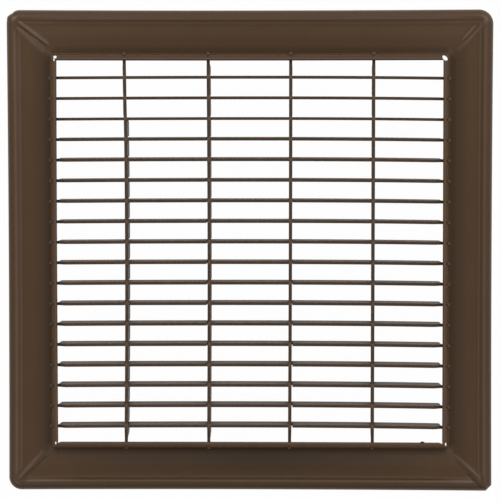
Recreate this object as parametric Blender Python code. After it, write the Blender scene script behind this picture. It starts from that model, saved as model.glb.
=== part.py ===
"""Return air grille: a drop-in floor grille of interlocked steel bars in a roll-formed frame.

Metres, +Z up. The grille lies face up. X runs along the fins, Y along the mullions.
The origin is under the middle of the face, at the back edges of the mullions.
"""

import math

import bmesh
import bpy
from mathutils import Matrix, Vector

COLLECTION = "return_air_grille"
CUTTERS = "cutters"

# Face, across the outer edges of the rim
FACE_WIDTH = 0.3000
FACE_HEIGHT = 0.2979

# Sheet of the frame, and the gap left between pieces that touch
SHEET = 0.0008
FIT_GAP = 0.0003

# Frame section: insets are measured in from the outer edge, heights up from the floor
FOOT_WIDTH = 0.0042
FOOT_RADIUS = 0.0010
RIM_CREST_INSET = 0.0049
RIM_CREST_HEIGHT = 0.0065
RIM_SHOULDER_INSET = 0.0057
GROOVE_INSET = 0.00695
GROOVE_HEIGHT = 0.0058
RIB_INSET = 0.0083
RIB_HEIGHT = 0.0064
FIELD_START_INSET = 0.0096
FIELD_END_INSET = 0.0155
FIELD_HEIGHT = 0.0061
GUTTER_INSET = 0.0265
GUTTER_HEIGHT = 0.0030
WALL_INSET = 0.0273
WALL_FOOT_HEIGHT = 0.0034
LIP_INSET = 0.0305
LIP_HEIGHT = 0.0080
LIP_RADIUS = 0.0010
LIP_TURN_DOWN = 0.0025
ARC_STEPS = 4
RIM_STEPS = 7
WAVE_STEPS = 3
SLOPE_STEPS = 6

# Corners of the frame: two are folded round, one seam is round, one seam is clipped
FOLD_RADIUS = 0.0068
SEAM_RADIUS = 0.0064
CLIP_SIZE = 0.0037
CORNER_STEPS = 3
MITRE_RIDGE_HEIGHT = 0.00035
MITRE_RIDGE_OFFSET = 0.0010
MITRE_RIDGE_RUN = 0.0022
MITRE_SLIT_START = 0.0094
GROOVE_PRESSED_FLAT = 0.7
GROOVE_FADE_RUN = 0.0120

# Relief hole through the lip at each corner of the opening: inset of its centre, then its
# half width along the mitre and across it
RELIEFS = {
    "top_right": (0.0291, 0.0011, 0.0017),
    "bottom_left": (0.0291, 0.0006, 0.0009),
    "top_left": (0.0293, 0.0009, 0.0011),
    "bottom_right": (0.0287, 0.0011, 0.0009),
}
RELIEF_SIDES = 16

# Fins: the bars that run across the opening, as many as fit between the end spaces
FIN_PITCH = 0.0127
FIN_END_SPACE = 0.0098
FIN_THICKNESS = 0.0016
FIN_DEPTH = 0.0140
FIN_NECK = 0.0007
FIN_FRONT_TAPER = 0.0046
FIN_BACK_TAPER = 0.0012

# Mullions: the deeper bars that cross the fins and carry them
MULLION_PITCH = 4 * FIN_PITCH
MULLION_END_SPACE = 0.0400
MULLION_THICKNESS = 0.0016
MULLION_DEPTH = 0.0184
MULLION_NECK = 0.0022
MULLION_FRONT_TAPER = 0.0052
MULLION_BACK_TAPER = 0.0024
NOTCH_LEAD_IN = 0.0014

# Level of the bars under the lip, and the lap where fins and mullions cross
FRONT_SETBACK = 0.0003
LAP_DEPTH = 0.0080
TAB_CENTRE_DEPTH = 0.0034
TAB_DEPTH = 0.0012
TAB_PROUD = 0.0013
CUT_OVERRUN = 0.0002

# Opening between the lips, and the number of bars that fill it
OPENING_WIDTH = FACE_WIDTH - 2 * LIP_INSET
OPENING_HEIGHT = FACE_HEIGHT - 2 * LIP_INSET
FIN_COUNT = 1 + math.floor((OPENING_HEIGHT - 2 * FIN_END_SPACE) / FIN_PITCH)
MULLION_COUNT = 1 + math.floor((OPENING_WIDTH - 2 * MULLION_END_SPACE) / MULLION_PITCH)

# Heights that follow from the sizes above
FLOOR = MULLION_DEPTH - (LIP_HEIGHT - FRONT_SETBACK)
BAR_FRONT = FLOOR + LIP_HEIGHT - FRONT_SETBACK
TAB_TOP = BAR_FRONT - TAB_CENTRE_DEPTH + TAB_DEPTH / 2
TAB_BOTTOM = BAR_FRONT - TAB_CENTRE_DEPTH - TAB_DEPTH / 2

WELD = 0.000002
PAINTED_BROWN = (0.074, 0.045, 0.028, 1.0)
BAR_BROWN = (0.060, 0.040, 0.028, 1.0)


def clear_scene():
    for item in list(bpy.data.objects):
        bpy.data.objects.remove(item, do_unlink=True)


def make_collection(name):
    collection = bpy.data.collections.new(name)
    bpy.context.scene.collection.children.link(collection)
    return collection


def painted_steel(name, colour):
    material = bpy.data.materials.new(name)
    material.use_nodes = True
    shader = material.node_tree.nodes["Principled BSDF"]
    shader.inputs["Base Color"].default_value = colour
    shader.inputs["Roughness"].default_value = 0.45
    shader.inputs["Metallic"].default_value = 0.0
    material.diffuse_color = colour
    return material


def add_object(name, mesh, collection, material=None):
    item = bpy.data.objects.new(name, mesh)
    collection.objects.link(item)
    if material is not None and not mesh.materials:
        mesh.materials.append(material)
    return item


def arc_points(centre, radii, start, end, steps):
    """Points on an arc from one angle to another, in degrees, without its first point."""
    points = []
    for step in range(1, steps + 1):
        angle = math.radians(start + (end - start) * step / steps)
        x = centre[0] + radii[0] * math.cos(angle)
        z = centre[1] + radii[1] * math.sin(angle)
        points.append((x, z))
    return points


def wave_points(start, end, steps):
    """Points from one level to the next, level at both, without the first point."""
    points = []
    for step in range(1, steps + 1):
        share = step / steps
        rise = (1 - math.cos(math.pi * share)) / 2
        inset = start[0] + (end[0] - start[0]) * share
        points.append((inset, start[1] + (end[1] - start[1]) * rise))
    return points


def frame_section():
    """Outer skin of the rolled frame as (inset, height), from the foot round to the lip."""
    section = [(FOOT_WIDTH, 0.0), (FOOT_RADIUS, 0.0)]
    foot_centre = (FOOT_RADIUS, FOOT_RADIUS)
    section += arc_points(foot_centre, (FOOT_RADIUS, FOOT_RADIUS), 270, 180, ARC_STEPS)
    dome_centre = (RIM_CREST_INSET, FOOT_RADIUS)
    dome_radii = (RIM_CREST_INSET, RIM_CREST_HEIGHT - FOOT_RADIUS)
    section += arc_points(dome_centre, dome_radii, 180, 90, RIM_STEPS)
    shoulder = (RIM_SHOULDER_INSET, RIM_CREST_HEIGHT)
    groove = (GROOVE_INSET, GROOVE_HEIGHT)
    rib = (RIB_INSET, RIB_HEIGHT)
    section.append(shoulder)
    section += wave_points(shoulder, groove, WAVE_STEPS)
    section += wave_points(groove, rib, WAVE_STEPS)
    section += wave_points(rib, (FIELD_START_INSET, FIELD_HEIGHT), WAVE_STEPS)
    section.append((FIELD_END_INSET, FIELD_HEIGHT))
    slope_run = GUTTER_INSET - FIELD_END_INSET
    slope_fall = FIELD_HEIGHT - GUTTER_HEIGHT
    for step in range(1, SLOPE_STEPS + 1):
        share = step / SLOPE_STEPS
        inset = FIELD_END_INSET + slope_run * share
        section.append((inset, FIELD_HEIGHT - slope_fall * share * share))
    section.append((WALL_INSET, WALL_FOOT_HEIGHT))
    lip_base = LIP_HEIGHT - LIP_RADIUS
    section.append((WALL_INSET, lip_base))
    lip_radii = (LIP_RADIUS, LIP_RADIUS)
    section += arc_points((WALL_INSET + LIP_RADIUS, lip_base), lip_radii, 180, 90, ARC_STEPS)
    inner_centre = (LIP_INSET - LIP_RADIUS, lip_base)
    section.append((inner_centre[0], LIP_HEIGHT))
    section += arc_points(inner_centre, lip_radii, 90, 0, ARC_STEPS)
    section.append((LIP_INSET, LIP_HEIGHT - LIP_TURN_DOWN))
    return section


class Corner:
    """One corner of the face, with the directions in which its two rails leave it."""

    def __init__(self, x_side, y_side, radius, clipped=False):
        self.point = Vector((x_side * FACE_WIDTH / 2, y_side * FACE_HEIGHT / 2))
        self.along_x = Vector((-x_side, 0.0))
        self.along_y = Vector((0.0, -y_side))
        self.radius = radius
        self.clipped = clipped

    def turn(self, inset, share):
        """Point on the turn at an inset; share runs from 0 on the X rail to 1 on the Y rail."""
        if inset >= self.radius:
            return self.point + (self.along_x + self.along_y) * inset
        start = self.point + self.along_x * self.radius + self.along_y * inset
        end = self.point + self.along_y * self.radius + self.along_x * inset
        if self.clipped:
            return start.lerp(end, share)
        centre = self.point + (self.along_x + self.along_y) * self.radius
        angle = share * math.pi / 2
        reach = self.radius - inset
        return centre - self.along_y * reach * math.cos(angle) - self.along_x * reach * math.sin(angle)

    def past(self, inset, distance, on_x_rail):
        """Point on a rail, at a distance past the end of the turn."""
        start = max(inset, self.radius) + distance
        if on_x_rail:
            return self.point + self.along_x * start + self.along_y * inset
        return self.point + self.along_y * start + self.along_x * inset


CORNERS = {
    "top_right": Corner(1, 1, FOLD_RADIUS),
    "bottom_left": Corner(-1, -1, FOLD_RADIUS),
    "top_left": Corner(-1, 1, SEAM_RADIUS),
    "bottom_right": Corner(1, -1, CLIP_SIZE, clipped=True),
}


def seam_stations(corner, on_x_rail):
    """Stations from a seam's mitre plane out along one rail."""
    clear = FIT_GAP / 2 * math.sqrt(2)
    rail = corner.along_x if on_x_rail else corner.along_y
    stations = []
    for step in range(CORNER_STEPS + 1):
        share = 0.5 * (1 - step / CORNER_STEPS)
        if not on_x_rail:
            share = 1 - share
        place = lambda inset, share=share: corner.turn(inset, share) + rail * clear
        stations.append((place, 0.0, GROOVE_PRESSED_FLAT))
    stations += ridge_stations(corner, on_x_rail)
    return stations


def ridge_stations(corner, on_x_rail):
    """Stations over the raised ridge beside a mitre and on to where the groove is full."""
    runs = [
        (MITRE_RIDGE_OFFSET, MITRE_RIDGE_HEIGHT, GROOVE_PRESSED_FLAT),
        (MITRE_RIDGE_RUN, 0.0, GROOVE_PRESSED_FLAT),
        (GROOVE_FADE_RUN, 0.0, 0.0),
    ]
    stations = []
    for distance, rise, pressed in runs:
        place = lambda inset, distance=distance: corner.past(inset, distance, on_x_rail)
        stations.append((place, rise, pressed))
    return stations


def fold_stations(corner):
    """Stations round a folded corner, from its X rail to its Y rail."""
    stations = list(reversed(ridge_stations(corner, True)))
    for step in range(2 * CORNER_STEPS + 1):
        share = step / (2 * CORNER_STEPS)
        place = lambda inset, share=share: corner.turn(inset, share)
        stations.append((place, 0.0, GROOVE_PRESSED_FLAT))
    return stations + ridge_stations(corner, False)


def inner_skin(section):
    """The outer skin moved in by the sheet's thickness, with its corners mitred."""
    shifted = []
    for index, point in enumerate(section):
        before = Vector(point) - Vector(section[max(index - 1, 0)])
        after = Vector(section[min(index + 1, len(section) - 1)]) - Vector(point)
        sides = [Vector((run.y, -run.x)).normalized() for run in (before, after) if run.length > 0]
        middle = sum(sides, Vector((0.0, 0.0))).normalized()
        spot = Vector(point) + middle * SHEET / middle.dot(sides[0])
        shifted.append((spot.x, spot.y))
    return shifted


def pressed_rise(inset, height):
    """How far a point of the section rises when the groove and rib are pressed flat."""
    if not RIM_SHOULDER_INSET < inset < FIELD_START_INSET:
        return 0.0
    share = (inset - RIM_SHOULDER_INSET) / (FIELD_START_INSET - RIM_SHOULDER_INSET)
    return RIM_CREST_HEIGHT + (FIELD_HEIGHT - RIM_CREST_HEIGHT) * share - height


def frame_mesh(name, stations):
    """Rolled sheet: a grid whose columns go round the section and whose rows are the stations."""
    outer = frame_section()
    inner = inner_skin(outer)
    outer_rises = [pressed_rise(inset, height) for inset, height in outer]
    loop = outer + inner[::-1] + outer[:1]
    rises = outer_rises + outer_rises[::-1] + outer_rises[:1]
    rows = len(stations) - 1
    columns = len(loop) - 1
    model = bmesh.new()
    bmesh.ops.create_grid(model, x_segments=columns, y_segments=rows, size=1.0)
    for vert in model.verts:
        column = round((vert.co.x + 1) / 2 * columns)
        inset, height = loop[column]
        place, ridge, pressed = stations[round((vert.co.y + 1) / 2 * rows)]
        spot = place(inset)
        height += rises[column] * pressed
        if RIB_INSET < inset < GUTTER_INSET:
            height += ridge
        vert.co = (spot.x, spot.y, FLOOR + height)
    bmesh.ops.remove_doubles(model, verts=model.verts, dist=WELD)
    bmesh.ops.dissolve_degenerate(model, edges=model.edges, dist=WELD)
    open_edges = [edge for edge in model.edges if edge.is_boundary]
    bmesh.ops.holes_fill(model, edges=open_edges, sides=0)
    bmesh.ops.recalc_face_normals(model, faces=model.faces)
    mesh = bpy.data.meshes.new(name)
    model.to_mesh(mesh)
    model.free()
    return mesh


def add_block(model, low, high, turn=None):
    """Add a closed block between two corners, turned about Z where a turn is given."""
    middle = (Vector(low) + Vector(high)) / 2
    size = Vector(high) - Vector(low)
    matrix = Matrix.Translation(middle)
    if turn is not None:
        matrix = turn @ matrix
    bmesh.ops.create_cube(model, size=1.0, matrix=matrix @ Matrix.Diagonal(size).to_4x4())


def finish_cutter(name, model, collection):
    mesh = bpy.data.meshes.new(name)
    model.to_mesh(mesh)
    model.free()
    cutter = add_object(name, mesh, collection)
    cutter.hide_render = True
    cutter.display_type = "WIRE"
    return cutter


def centred_places(count, pitch):
    """Places of equally spaced bars, centred on zero."""
    return [(index - (count - 1) / 2) * pitch for index in range(count)]


def tab_slot_cutter(name, x_side, y_side, collection):
    """Slots for the bar tabs through the wall and the shoulder of the lip, along two rails."""
    model = bmesh.new()
    low = TAB_BOTTOM - FIT_GAP
    high = FLOOR + LIP_HEIGHT + SHEET
    slot_insets = (WALL_INSET - TAB_PROUD, WALL_INSET + SHEET + CUT_OVERRUN)
    half_slot = FIN_THICKNESS / 2 + FIT_GAP
    across = sorted(x_side * (FACE_WIDTH / 2 - inset) for inset in slot_insets)
    for y in centred_places(FIN_COUNT, FIN_PITCH):
        add_block(model, (across[0], y - half_slot, low), (across[1], y + half_slot, high))
    half_slot = MULLION_THICKNESS / 2 + FIT_GAP
    across = sorted(y_side * (FACE_HEIGHT / 2 - inset) for inset in slot_insets)
    for x in centred_places(MULLION_COUNT, MULLION_PITCH):
        add_block(model, (x - half_slot, across[0], low), (x + half_slot, across[1], high))
    return finish_cutter(name, model, collection)


def relief_cutter(corner_name, collection):
    """Oval hole through the lip where the lips of two rails meet."""
    corner = CORNERS[corner_name]
    inset, half_along, half_across = RELIEFS[corner_name]
    diagonal = corner.along_x + corner.along_y
    spot = corner.point + diagonal * inset
    low = FLOOR + LIP_HEIGHT - LIP_TURN_DOWN - SHEET
    high = FLOOR + LIP_HEIGHT + SHEET
    turn = Matrix.Rotation(math.atan2(diagonal.y, diagonal.x), 4, "Z")
    placed = Matrix.Translation((spot.x, spot.y, (low + high) / 2)) @ turn
    model = bmesh.new()
    bmesh.ops.create_cone(
        model, cap_ends=True, segments=RELIEF_SIDES, radius1=1.0, radius2=1.0, depth=high - low,
        matrix=placed @ Matrix.Diagonal((half_along, half_across, 1.0, 1.0)))
    return finish_cutter("relief_" + corner_name, model, collection)


def mitre_slit_cutter(corner_name, collection):
    """Closed-up mitre cut of a folded corner, from inside the rim to the opening."""
    corner = CORNERS[corner_name]
    diagonal = corner.along_x + corner.along_y
    start = MITRE_SLIT_START * math.sqrt(2)
    end = (LIP_INSET + SHEET) * math.sqrt(2)
    low = FLOOR + GUTTER_HEIGHT - 3 * SHEET
    high = FLOOR + LIP_HEIGHT + SHEET
    turn = Matrix.Rotation(math.atan2(diagonal.y, diagonal.x), 4, "Z")
    placed = Matrix.Translation((corner.point.x, corner.point.y, 0.0)) @ turn
    model = bmesh.new()
    add_block(model, (start, -FIT_GAP / 2, low), (end, FIT_GAP / 2, high), placed)
    return finish_cutter("mitre_slit_" + corner_name, model, collection)


def frame_half(name, first_seam, fold, last_seam, cutters, parts, material):
    """One L-shaped half of the frame: a rail, a folded corner and a second rail."""
    stations = seam_stations(CORNERS[first_seam], True)
    stations += fold_stations(CORNERS[fold])
    stations += reversed(seam_stations(CORNERS[last_seam], False))
    item = add_object(name, frame_mesh(name, stations), parts, material)
    for cutter in cutters:
        cut = item.modifiers.new(cutter.name, "BOOLEAN")
        cut.operation = "DIFFERENCE"
        cut.solver = "EXACT"
        cut.object = cutter
    return item


def bar_end(lip_half, tip, neck, front_taper, back_taper, depth):
    """Tapered end of a bar with its tab, from the front edge to the back edge."""
    shoulder = lip_half - neck
    tab_top = TAB_TOP - BAR_FRONT
    tab_bottom = TAB_BOTTOM - BAR_FRONT
    return [
        (shoulder - front_taper, 0.0),
        (shoulder, tab_top),
        (tip, tab_top),
        (tip, tab_bottom),
        (shoulder, tab_bottom),
        (shoulder - back_taper, -depth),
    ]


def fin_notches():
    """Notches in a fin's front edge, one at each mullion, from left to right."""
    half_notch = MULLION_THICKNESS / 2 + FIT_GAP
    root = -LAP_DEPTH - FIT_GAP / 2
    points = []
    for place in centred_places(MULLION_COUNT, MULLION_PITCH):
        left = place - half_notch
        right = place + half_notch
        points += [(left, 0.0), (left, root), (right, root), (right, 0.0)]
    return points


def mullion_notches():
    """Notches with lead-in corners in a mullion's back edge, one at each fin, right to left."""
    half_notch = FIN_THICKNESS / 2 + FIT_GAP
    root = -LAP_DEPTH + FIT_GAP / 2
    back = -MULLION_DEPTH
    points = []
    for place in reversed(centred_places(FIN_COUNT, FIN_PITCH)):
        left = place - half_notch
        right = place + half_notch
        points += [(right + NOTCH_LEAD_IN, back), (right, back + NOTCH_LEAD_IN), (right, root)]
        points += [(left, root), (left, back + NOTCH_LEAD_IN), (left - NOTCH_LEAD_IN, back)]
    return points


def bar_mesh(name, outline, thickness, turn):
    """Flat bar: an outline filled and thickened as a curve, then welded into a mesh."""
    curve = bpy.data.curves.new(name + "_outline", "CURVE")
    curve.dimensions = "2D"
    curve.fill_mode = "BOTH"
    curve.extrude = thickness / 2
    spline = curve.splines.new("POLY")
    spline.points.add(len(outline) - 1)
    for point, (along, height) in zip(spline.points, outline):
        point.co = (along, height, 0.0, 1.0)
    spline.use_cyclic_u = True
    drawn = bpy.data.objects.new(name + "_outline", curve)
    bpy.context.scene.collection.objects.link(drawn)
    drawn.rotation_euler = turn
    depsgraph = bpy.context.evaluated_depsgraph_get()
    mesh = bpy.data.meshes.new_from_object(drawn.evaluated_get(depsgraph))
    mesh.name = name
    model = bmesh.new()
    model.from_mesh(mesh)
    bmesh.ops.remove_doubles(model, verts=model.verts, dist=WELD)
    bmesh.ops.recalc_face_normals(model, faces=model.faces)
    model.to_mesh(mesh)
    model.free()
    bpy.data.objects.remove(drawn, do_unlink=True)
    return mesh


def mirrored(points):
    return [(-along, height) for along, height in reversed(points)]


def add_fins(parts, material):
    end = bar_end(
        OPENING_WIDTH / 2, FACE_WIDTH / 2 - WALL_INSET + TAB_PROUD,
        FIN_NECK, FIN_FRONT_TAPER, FIN_BACK_TAPER, FIN_DEPTH)
    outline = mirrored(end) + fin_notches() + end
    turn = (math.pi / 2, 0.0, 0.0)
    mesh = bar_mesh("fin", outline, FIN_THICKNESS, turn)
    fins = []
    for index, place in enumerate(reversed(centred_places(FIN_COUNT, FIN_PITCH))):
        fin = add_object("fin_%02d" % (index + 1), mesh, parts, material)
        fin.rotation_euler = turn
        fin.location = (0.0, place, BAR_FRONT)
        fins.append(fin)
    return fins


def add_mullions(parts, material):
    end = bar_end(
        OPENING_HEIGHT / 2, FACE_HEIGHT / 2 - WALL_INSET + TAB_PROUD,
        MULLION_NECK, MULLION_FRONT_TAPER, MULLION_BACK_TAPER, MULLION_DEPTH)
    outline = mirrored(end) + end + mullion_notches()
    turn = (math.pi / 2, 0.0, math.pi / 2)
    mesh = bar_mesh("mullion", outline, MULLION_THICKNESS, turn)
    mullions = []
    for index, place in enumerate(centred_places(MULLION_COUNT, MULLION_PITCH)):
        mullion = add_object("mullion_%d" % (index + 1), mesh, parts, material)
        mullion.rotation_euler = turn
        mullion.location = (place, 0.0, BAR_FRONT)
        mullions.append(mullion)
    return mullions


def add_frame(parts, tools, material):
    reliefs = {name: relief_cutter(name, tools) for name in CORNERS}
    upper_right_cutters = [
        tab_slot_cutter("tab_slots_upper_right", 1, 1, tools),
        mitre_slit_cutter("top_right", tools),
        reliefs["top_left"], reliefs["top_right"], reliefs["bottom_right"],
    ]
    lower_left_cutters = [
        tab_slot_cutter("tab_slots_lower_left", -1, -1, tools),
        mitre_slit_cutter("bottom_left", tools),
        reliefs["bottom_right"], reliefs["bottom_left"], reliefs["top_left"],
    ]
    return [
        frame_half("frame_upper_right", "top_left", "top_right", "bottom_right",
                   upper_right_cutters, parts, material),
        frame_half("frame_lower_left", "bottom_right", "bottom_left", "top_left",
                   lower_left_cutters, parts, material),
    ]


def build():
    clear_scene()
    parts = make_collection(COLLECTION)
    tools = make_collection(CUTTERS)
    centre = bpy.data.objects.new("grille_centre", None)
    parts.objects.link(centre)
    pieces = add_frame(parts, tools, painted_steel("frame_paint", PAINTED_BROWN))
    pieces += add_fins(parts, painted_steel("fin_paint", BAR_BROWN))
    pieces += add_mullions(parts, painted_steel("mullion_paint", BAR_BROWN))
    for piece in pieces:
        piece.parent = centre


build()
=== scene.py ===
"""Looks of the return air grille: satin brown paint on a rolled steel frame and its lattice of bars."""

import math

import bmesh
import bpy
from mathutils import Matrix, Vector, noise


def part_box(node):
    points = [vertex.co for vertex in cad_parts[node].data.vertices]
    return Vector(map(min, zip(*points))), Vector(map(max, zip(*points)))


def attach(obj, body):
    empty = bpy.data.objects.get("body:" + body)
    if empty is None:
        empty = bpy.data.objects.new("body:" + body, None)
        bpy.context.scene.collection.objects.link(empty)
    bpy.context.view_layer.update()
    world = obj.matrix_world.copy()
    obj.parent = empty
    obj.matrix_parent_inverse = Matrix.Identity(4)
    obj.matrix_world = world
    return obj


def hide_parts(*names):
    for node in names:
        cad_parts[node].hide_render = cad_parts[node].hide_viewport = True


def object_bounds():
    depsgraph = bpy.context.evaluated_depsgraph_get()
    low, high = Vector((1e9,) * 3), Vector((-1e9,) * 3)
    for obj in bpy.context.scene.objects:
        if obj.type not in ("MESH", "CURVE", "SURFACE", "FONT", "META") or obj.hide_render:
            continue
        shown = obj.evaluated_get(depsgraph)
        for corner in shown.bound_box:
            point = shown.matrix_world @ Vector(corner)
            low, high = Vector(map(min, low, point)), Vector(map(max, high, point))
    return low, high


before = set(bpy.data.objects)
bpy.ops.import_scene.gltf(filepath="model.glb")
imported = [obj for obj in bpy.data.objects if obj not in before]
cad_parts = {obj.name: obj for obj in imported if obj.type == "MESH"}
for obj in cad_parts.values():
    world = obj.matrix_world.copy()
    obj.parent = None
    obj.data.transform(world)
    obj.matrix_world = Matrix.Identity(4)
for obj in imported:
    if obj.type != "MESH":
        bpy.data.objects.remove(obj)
cad_low, cad_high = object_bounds()

# Places that the frame gives
FIN_NODES = sorted(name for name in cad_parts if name.startswith("fin_"))
MULLION_NODES = sorted(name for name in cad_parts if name.startswith("mullion_"))
FACE_WIDTH = cad_high.x - cad_low.x
FACE_HEIGHT = cad_high.y - cad_low.y
LIP_TOP = cad_high.z
BAR_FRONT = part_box(MULLION_NODES[0])[1].z
FIN_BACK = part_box(FIN_NODES[0])[0].z


def node_centre(node):
    low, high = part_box(node)
    return (low + high) / 2


FIN_PLACES = [node_centre(node).y for node in FIN_NODES]
MULLION_PLACES = [node_centre(node).x for node in MULLION_NODES]
FIN_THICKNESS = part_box(FIN_NODES[0])[1].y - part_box(FIN_NODES[0])[0].y
MULLION_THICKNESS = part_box(MULLION_NODES[0])[1].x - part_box(MULLION_NODES[0])[0].x
FIN_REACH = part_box(FIN_NODES[0])[1].x
MULLION_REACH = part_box(MULLION_NODES[0])[1].y

# Rolled section: insets from the outer edge, heights above the line of the floor
SHEET = 0.0008
FOOT_WIDTH = 0.0042
FOOT_RADIUS = 0.0010
RIM_CREST = (0.0049, 0.0065)
RIM_SHOULDER = (0.0057, 0.0065)
GROOVE = (0.00695, 0.0058)
RIB = (0.0083, 0.0064)
FIELD_START = (0.0096, 0.0061)
FIELD_END = (0.0155, 0.0061)
GUTTER = (0.0265, 0.0030)
WALL_FOOT = (0.0273, 0.0034)
LIP_INSET = 0.0305
LIP_HEIGHT = 0.0080
LIP_RADIUS = 0.0010
LIP_TURN_DOWN = 0.0025
BEND_RADIUS = 0.00035
BEND_STEPS = 3
BEND_SHARE = 0.48
ARC_STEPS = 5
RIM_STEPS = 14
WAVE_STEPS = 5
SLOPE_STEPS = 16
SLOPE_CURVE = 1.25
SECTION_STEP = 0.0007
FLOOR_LINE = LIP_TOP - LIP_HEIGHT

# Steps of the stations: half a corner's turn, a rail near its corner, and the rest of a rail
TURN_STEPS = 8
NEAR_REACH = 0.0130
NEAR_STEPS = 26
FAR_STEPS = 20

# Slots for the tabs of the bars
SLOT_CLEARANCE = 0.00005
SLOT_REACH = 0.0010
TAB_HALF_DEPTH = 0.0006
TAB_CENTRE_DEPTH = 0.0034

# Points closer than this are one point
WELD = 0.000002


def smooth_step(low, high, value):
    """0 at low, 1 at high, and smooth between them; low may be above high."""
    share = min(max((value - low) / (high - low), 0.0), 1.0)
    return share * share * (3 - 2 * share)


# Shader maths
class Wire:
    """An output socket of a shader node. Sums and products of wires add Math nodes."""

    def __init__(self, finish, socket):
        self.finish = finish
        self.socket = socket

    def maths(self, operation, first, second=0.0):
        return self.finish.node("ShaderNodeMath", {"operation": operation}, {0: first, 1: second})

    def __add__(self, other):
        return self.maths("ADD", self, other)

    def __sub__(self, other):
        return self.maths("SUBTRACT", self, other)

    def __rsub__(self, other):
        return self.maths("SUBTRACT", other, self)

    def __mul__(self, other):
        return self.maths("MULTIPLY", self, other)

    __radd__ = __add__
    __rmul__ = __mul__

    def least(self, other):
        return self.maths("MINIMUM", self, other)

    def most(self, other):
        return self.maths("MAXIMUM", self, other)

    def between(self, low, high):
        """0 below low, 1 above high, and smooth between them; low may be above high."""
        return self.finish.node(
            "ShaderNodeMapRange", {"interpolation_type": "SMOOTHSTEP"},
            {"Value": self, "From Min": low, "From Max": high})


class Finish:
    """A material or world whose nodes are being laid."""

    def __init__(self, holder):
        self.holder = holder
        holder.use_nodes = True
        self.tree = holder.node_tree

    def node(self, kind, settings, sockets, output=0):
        made = self.tree.nodes.new(kind)
        for name, value in settings.items():
            setattr(made, name, value)
        for name, value in sockets.items():
            if isinstance(value, Wire):
                self.tree.links.new(value.socket, made.inputs[name])
            else:
                made.inputs[name].default_value = value
        return Wire(self, made.outputs[output]) if made.outputs else None

    def place(self):
        return self.node("ShaderNodeTexCoord", {}, {}, "Object")

    def axis(self, vector, name):
        return self.node("ShaderNodeSeparateXYZ", {}, {0: vector}, name)

    def facing(self, vector, way):
        settings = {"operation": "DOT_PRODUCT"}
        return self.node("ShaderNodeVectorMath", settings, {0: vector, 1: way}, "Value")

    def noise(self, vector, scale, detail=2.0, roughness=0.5):
        sockets = {"Vector": vector, "Scale": scale, "Detail": detail, "Roughness": roughness}
        return self.node("ShaderNodeTexNoise", {}, sockets)

    def attribute(self, name):
        return self.node("ShaderNodeAttribute", {"attribute_name": name}, {}, "Fac")

    def colour_mix(self, factor, first, second):
        sockets = {0: factor, 6: first, 7: second}
        return self.node("ShaderNodeMix", {"data_type": "RGBA"}, sockets, 2)

    def bump(self, height, strength, distance, normal=None):
        sockets = {"Height": height, "Strength": strength, "Distance": distance}
        if normal is not None:
            sockets["Normal"] = normal
        return self.node("ShaderNodeBump", {}, sockets)


# Satin brown paint: its tones, and the scales of its patterns in cells per metre
PAINT_BASE = (0.0765, 0.0415, 0.0186, 1.0)
PAINT_DEEP = (0.0660, 0.0355, 0.0158, 1.0)
# The pale tone serves worn edges and painted highlights; the dark tone serves painted shade and a dark
# drip
PAINT_WEAR_AND_HIGHLIGHT = (0.125, 0.0795, 0.0530, 1.0)
PAINT_SHADE_AND_DARK = (0.034, 0.0185, 0.0090, 1.0)
CLOUD_SCALE = 14.0
MOTTLE_SCALE = 70.0
SWELL_SCALE = 260.0
CHIP_SCALE = 420.0
NIB_SCALE = 900.0
PEEL_SCALE = 1500.0

# Range of the noise that makes chips and nibs, and how far each mark shows in colour and gloss
CHIP_RANGE = (0.35, 0.62)
NIB_RANGE = (0.74, 0.80)
EDGE_SHARE = 0.45
HOLLOW_SHADE_SHARE = 0.30
PALE_LEAST = 0.75
PALE_SPREAD = 0.5
DARKENING_LEAST = 0.7
DARKENING_SPREAD = 0.6
MOTTLE_DULLNESS = 0.12
HOLLOW_DULLNESS = 0.10
EDGE_POLISH = 0.05
NIB_HEIGHT = 1.5

# Strength and height of the long swell and of the fine peel
SWELL_BUMP = (0.20, 0.0002)
PEEL_BUMP = (0.22, 0.00004)


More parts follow.
